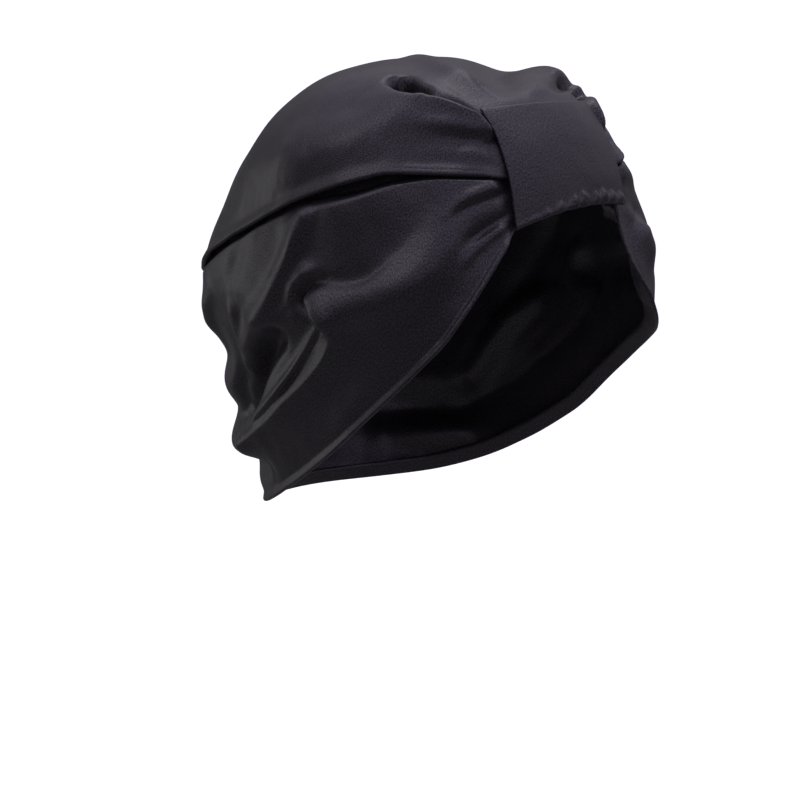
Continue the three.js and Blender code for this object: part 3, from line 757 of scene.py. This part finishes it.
def add_blend(tree, share, first, second):
    """Colour at a share of the way between two colours."""
    inputs = {"Factor": share, "A": first, "B": second}
    return add(tree, "ShaderNodeMix", inputs, data_type="RGBA").outputs["Result"]


def satin_grain(tree, cloth):
    """Grain of the floats over the flat cloth, 0 to 1."""
    along = add(tree, "ShaderNodeMapping", {"Vector": cloth, "Scale": (1, FLOAT_SQUEEZE, 1)})
    noise = add_noise(tree, along.outputs[0], GRAIN, GRAIN_DETAIL)
    low, high = GRAIN_RANGE
    return add(tree, "ShaderNodeMapRange", {"Value": noise, "From Min": low, "From Max": high}).outputs[0]


def satin_relief(tree, cloth, grain):
    """Normal of the cloth's face with its soft unevenness and its grain."""
    mottle = add_noise(tree, cloth, MOTTLE, SOFT_DETAIL)
    uneven = add(tree, "ShaderNodeBump", {
        "Height": mottle, "Strength": MOTTLE_STRENGTH, "Distance": MOTTLE_HEIGHT * MM})
    threads = add(tree, "ShaderNodeBump", {
        "Height": grain, "Strength": GRAIN_STRENGTH, "Distance": GRAIN_HEIGHT * MM,
        "Normal": uneven.outputs[0]})
    return threads.outputs[0]


def make_satin():
    """Polyester satin with long floats on its face: nearly black, with a soft broad sheen that turns
    lighter and faintly violet at a glancing angle, and a fine grain along the threads."""
    material = bpy.data.materials.new("black_satin")
    material.use_nodes = True
    tree = material.node_tree
    tree.nodes.clear()
    cloth = add(tree, "ShaderNodeUVMap", uv_map="cloth").outputs[0]
    grain = satin_grain(tree, cloth)
    rough_low, rough_high = SATIN_ROUGH
    dull = add(tree, "ShaderNodeMapRange", {
        "Value": add_noise(tree, cloth, CLOUD, SOFT_DETAIL), "To Min": rough_low, "To Max": rough_high})
    floats = add(tree, "ShaderNodeTangent", direction_type="UV_MAP", uv_map="cloth")
    face = add(tree, "ShaderNodeBsdfPrincipled", {
        "Base Color": add_blend(tree, grain, *map(linear, SATIN_SHADES)),
        "Roughness": dull.outputs[0],
        "Normal": satin_relief(tree, cloth, grain),
        "Tangent": floats.outputs[0],
        "IOR": SATIN_IOR,
        "Specular IOR Level": SATIN_SPECULAR,
        "Specular Tint": add_blend(tree, grain, *map(linear, SATIN_GLEAMS)),
        "Anisotropic": SATIN_ANISOTROPY,
        "Sheen Weight": SHEEN_WEIGHT,
        "Sheen Roughness": SHEEN_ROUGH,
        "Sheen Tint": linear(SHEEN_TINT)})
    add(tree, "ShaderNodeOutputMaterial", {"Surface": face.outputs[0]})
    return material


def make_paper():
    """White backdrop paper with a light of its own."""
    material = bpy.data.materials.new("white_backdrop_paper")
    material.use_nodes = True
    inputs = material.node_tree.nodes["Principled BSDF"].inputs
    inputs["Base Color"].default_value = linear(PAPER)
    inputs["Roughness"].default_value = PAPER_ROUGH
    inputs["Emission Color"].default_value = linear(WHITE)
    inputs["Emission Strength"].default_value = FLOOR_GLOW
    return material


def make_floor():
    """A wide white studio floor well below the cap, which isn't mirrored in the satin."""
    bm = bmesh.new()
    bmesh.ops.create_circle(bm, cap_ends=True, segments=FLOOR_SIDES, radius=FLOOR_RADIUS)
    bmesh.ops.translate(bm, vec=(0, 0, FLOOR_Z), verts=bm.verts)
    floor = link_mesh("studio_floor", bm, make_paper())
    floor.visible_glossy = False


def make_world():
    """A white studio: soft light mostly from above, and white wherever the camera looks past the floor."""
    world = bpy.data.worlds.new("white_studio")
    bpy.context.scene.world = world
    world.use_nodes = True
    tree = world.node_tree
    tree.nodes.clear()
    towards = add(tree, "ShaderNodeTexCoord")
    height = add(tree, "ShaderNodeVectorMath", {0: towards.outputs["Generated"], 1: SKY_LEAN},
                 operation="DOT_PRODUCT")
    start, end, gain = SKY_SIDES
    sides = add(tree, "ShaderNodeMapRange",
                {"Value": height.outputs["Value"], "From Min": start, "From Max": end},
                interpolation_type="SMOOTHSTEP")
    light = add(tree, "ShaderNodeMath", {0: sides.outputs[0], 1: gain, 2: SKY_BELOW},
                operation="MULTIPLY_ADD")
    tint = add_blend(tree, sides.outputs[0], linear(WHITE), linear(SKY_TINT))
    seen = add(tree, "ShaderNodeLightPath").outputs["Is Camera Ray"]
    strength = add(tree, "ShaderNodeMix", {"Factor": seen, "A": light.outputs[0], "B": STUDIO_WHITE})
    room = add(tree, "ShaderNodeBackground", {
        "Color": add_blend(tree, seen, tint, linear(WHITE)), "Strength": strength.outputs[0]})
    add(tree, "ShaderNodeOutputWorld", {"Surface": room.outputs[0]})


def aim(thing, place, target):
    """Puts a camera or light at a place and points it at a target."""
    thing.location = place
    thing.rotation_euler = (Vector(target) - Vector(place)).to_track_quat("-Z", "Y").to_euler()


def make_lights():
    """Soft boxes overhead, at the front, low behind and on the wearer's right."""
    for name, place, size, power in SOFT_BOXES:
        light = bpy.data.lights.new(name, "AREA")
        light.shape = "DISK"
        light.size = size
        light.energy = power
        aim(link(name, light), place, LIT_POINT)


def make_camera():
    """The photograph's view: from the front on the wearer's right, a little above."""
    azimuth, elevation = (math.radians(angle) for angle in CAMERA_ANGLES)
    back = Vector((math.sin(azimuth) * math.cos(elevation), -math.cos(azimuth) * math.cos(elevation),
                   math.sin(elevation)))
    right = Vector((math.cos(azimuth), math.sin(azimuth), 0))
    target = right * CAMERA_AIM[0] + back.cross(right) * CAMERA_AIM[1]
    lens = bpy.data.cameras.new("camera")
    lens.sensor_width = SENSOR_WIDTH
    lens.lens = SENSOR_WIDTH * CAMERA_DISTANCE / CAMERA_SPAN
    camera = link("camera", lens)
    aim(camera, target + back * CAMERA_DISTANCE, target)
    bpy.context.scene.camera = camera


def main():
    """Sets up the studio, makes the three pieces and says what each replaces and how it is held."""
    bpy.context.scene.view_settings.view_transform = "Standard"
    make_camera()
    make_world()
    make_lights()
    make_floor()
    satin = make_satin()
    pieces = {"crown": make_crown(satin), "wrap": make_wrap(satin), "front_band": make_band(satin)}
    for node, piece in pieces.items():
        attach(piece, "root")
        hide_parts(node)


main()
